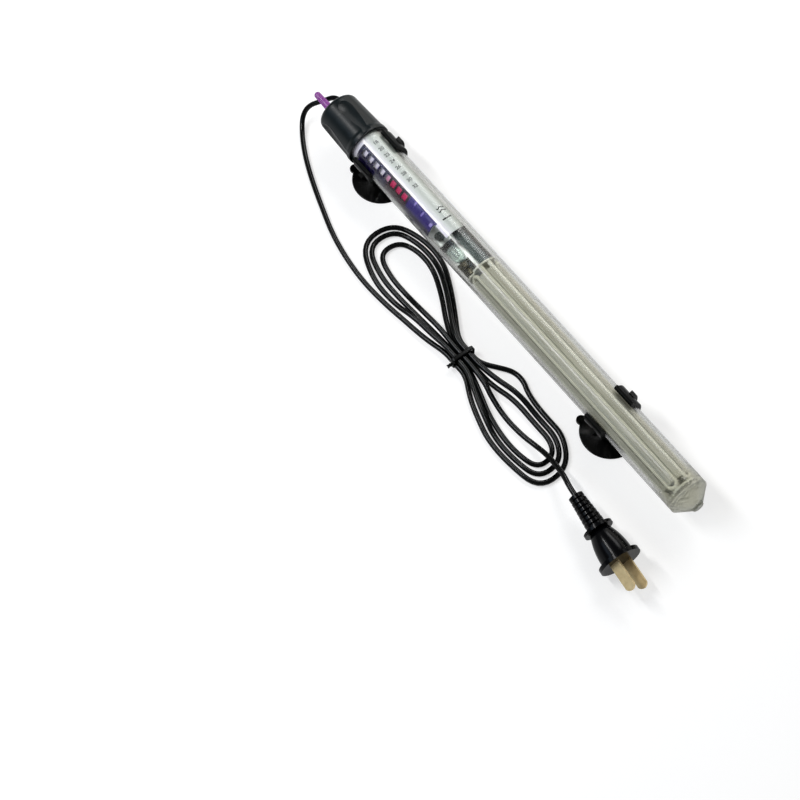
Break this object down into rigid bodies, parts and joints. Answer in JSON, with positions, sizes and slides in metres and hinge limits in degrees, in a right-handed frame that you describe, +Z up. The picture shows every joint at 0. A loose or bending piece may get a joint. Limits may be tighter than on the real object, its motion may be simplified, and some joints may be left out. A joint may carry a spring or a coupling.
{
  "type": "aquarium heater",
  "caption": "Submersible glass tube heater with a thermostat knob, a scale that shows its setting, clips with suction cups, and a tied mains cord with a plug.",
  "frame": {"origin": "midway along the heater, below the tube's axis, on the plane that the suction cups rest on", "axes": "+X along the tube from the knob to the glass tip, +Z up from the suction cups to the tube, +Y square to both, away from the cord"},
  "size_m": [0.3697, 0.0816, 0.0381],
  "materials": {
    "tube_glass": "clear glass",
    "cap_plastic": "satin moulded",
    "black_rubber": "smooth",
    "cup_rubber": "glossy soft",
    "clip_plastic": "moulded",
    "knob_plastic": "moulded violet",
    "spindle_metal": "turned",
    "indicator_plastic": "crimson",
    "card_sheet": "printed film",
    "chassis_metal": "pressed sheet",
    "inner_plastic": "moulded",
    "block_plastic": "moulded",
    "bimetal": "rolled strip",
    "contact_metal": "plated",
    "wire_cover": "sleeving",
    "core_ceramic": "unglazed fired ceramic",
    "coil_form": "close-wound wire",
    "cord_cover": "extruded",
    "tie_cover": "covered wire",
    "plug_plastic": "moulded"
  },
  "bodies": {
    "heater": {"glass_tube": "tube_glass", "head_cap": "cap_plastic", "seal_stopper": "black_rubber", "stem_seal": "black_rubber", "cord_gland": "black_rubber", "scale_card": "card_sheet", "chassis": "chassis_metal", "spindle_bracket": "spindle_metal", "thermostat_base": "inner_plastic", "bimetal_strip": "bimetal", "contact_pair": "contact_metal", "switch_magnet": "inner_plastic", "lamp_bar": "inner_plastic", "pilot_lamp": "tube_glass", "terminal_block": "block_plastic", "terminal_screws": "spindle_metal", "supply_wires": "wire_cover", "core_disc_upper": "core_ceramic", "heater_core": "core_ceramic", "heater_coils": "coil_form", "core_disc_lower": "core_ceramic", "cord_lead": "cord_cover", "cord_hank": "cord_cover", "cord_tail": "cord_cover", "twist_tie": "tie_cover", "plug_strain_relief": "black_rubber", "plug_body": "plug_plastic", "plug_blades": "contact_metal"},
    "knob": {"control_knob": "knob_plastic", "adjusting_spindle": "spindle_metal"},
    "indicator": {"indicator_slide": "indicator_plastic"},
    "clip_upper": {"holder_clip_upper": "clip_plastic"},
    "cup_upper": {"suction_cup_upper": "cup_rubber"},
    "clip_lower": {"holder_clip_lower": "clip_plastic"},
    "cup_lower": {"suction_cup_lower": "cup_rubber"}
  },
  "joints": [
    {"name": "knob_turn", "type": "hinge", "parent": "heater", "child": "knob", "pos_m": [-0.159, -0.0028, 0.0235], "axis": [1, 0, 0], "range_deg": [-540, 900]},
    {"name": "scale_slide", "type": "slide", "parent": "heater", "child": "indicator", "axis": [1, 0, 0], "range_m": [-0.0275, 0.0165]},
    {"name": "upper_clip_turn", "type": "hinge", "parent": "heater", "child": "clip_upper", "pos_m": [-0.1147, 0, 0.0235], "axis": [1, 0, 0], "continuous": true},
    {"name": "lower_clip_turn", "type": "hinge", "parent": "heater", "child": "clip_lower", "pos_m": [0.1018, 0, 0.0235], "axis": [1, 0, 0], "continuous": true},
    {"name": "upper_cup_turn", "type": "hinge", "parent": "clip_upper", "child": "cup_upper", "pos_m": [-0.1147, 0, 0.003], "axis": [0, 0, 1], "continuous": true},
    {"name": "lower_cup_turn", "type": "hinge", "parent": "clip_lower", "child": "cup_lower", "pos_m": [0.1018, 0, 0.003], "axis": [0, 0, 1], "continuous": true}
  ],
  "couplings": [
    {"joint": "knob_turn", "follows": "scale_slide", "rad_per_m": -571.19}
  ]
}
